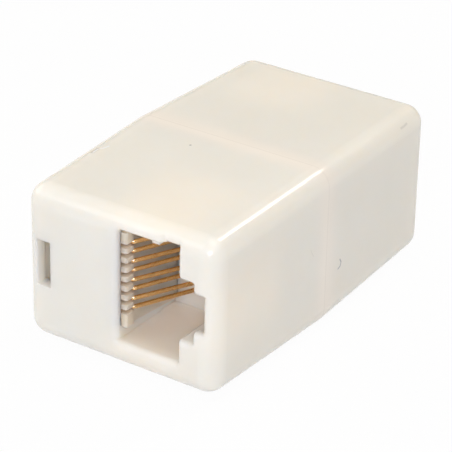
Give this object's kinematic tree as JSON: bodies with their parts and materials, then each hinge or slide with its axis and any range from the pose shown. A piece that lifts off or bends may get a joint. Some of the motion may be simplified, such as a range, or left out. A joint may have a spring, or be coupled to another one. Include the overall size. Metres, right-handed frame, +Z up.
{
  "type": "modular jack inline coupler",
  "caption": "Straight-through inline coupler that joins two patch cords end to end, with an eight-way modular jack in each end face.",
  "frame": {"origin": "on the surface it lies on, under the middle of the body", "axes": "+Z up, +Y along the body from the front jack to the rear jack, +X across the jack faces towards the front jack's latch"},
  "size_m": [0.0232, 0.039, 0.0174],
  "materials": {
    "housing": "glossy ivory ABS",
    "carrier": "natural off-white PBT",
    "contact": "gold-plated phosphor bronze wire"
  },
  "bodies": {
    "root": {"front_shell": "housing", "rear_shell": "housing", "front_carrier": "carrier", "rear_carrier": "carrier", "contact_wire_1": "contact", "contact_wire_2": "contact", "contact_wire_3": "contact", "contact_wire_4": "contact", "contact_wire_5": "contact", "contact_wire_6": "contact", "contact_wire_7": "contact", "contact_wire_8": "contact"}
  },
  "joints": []
}
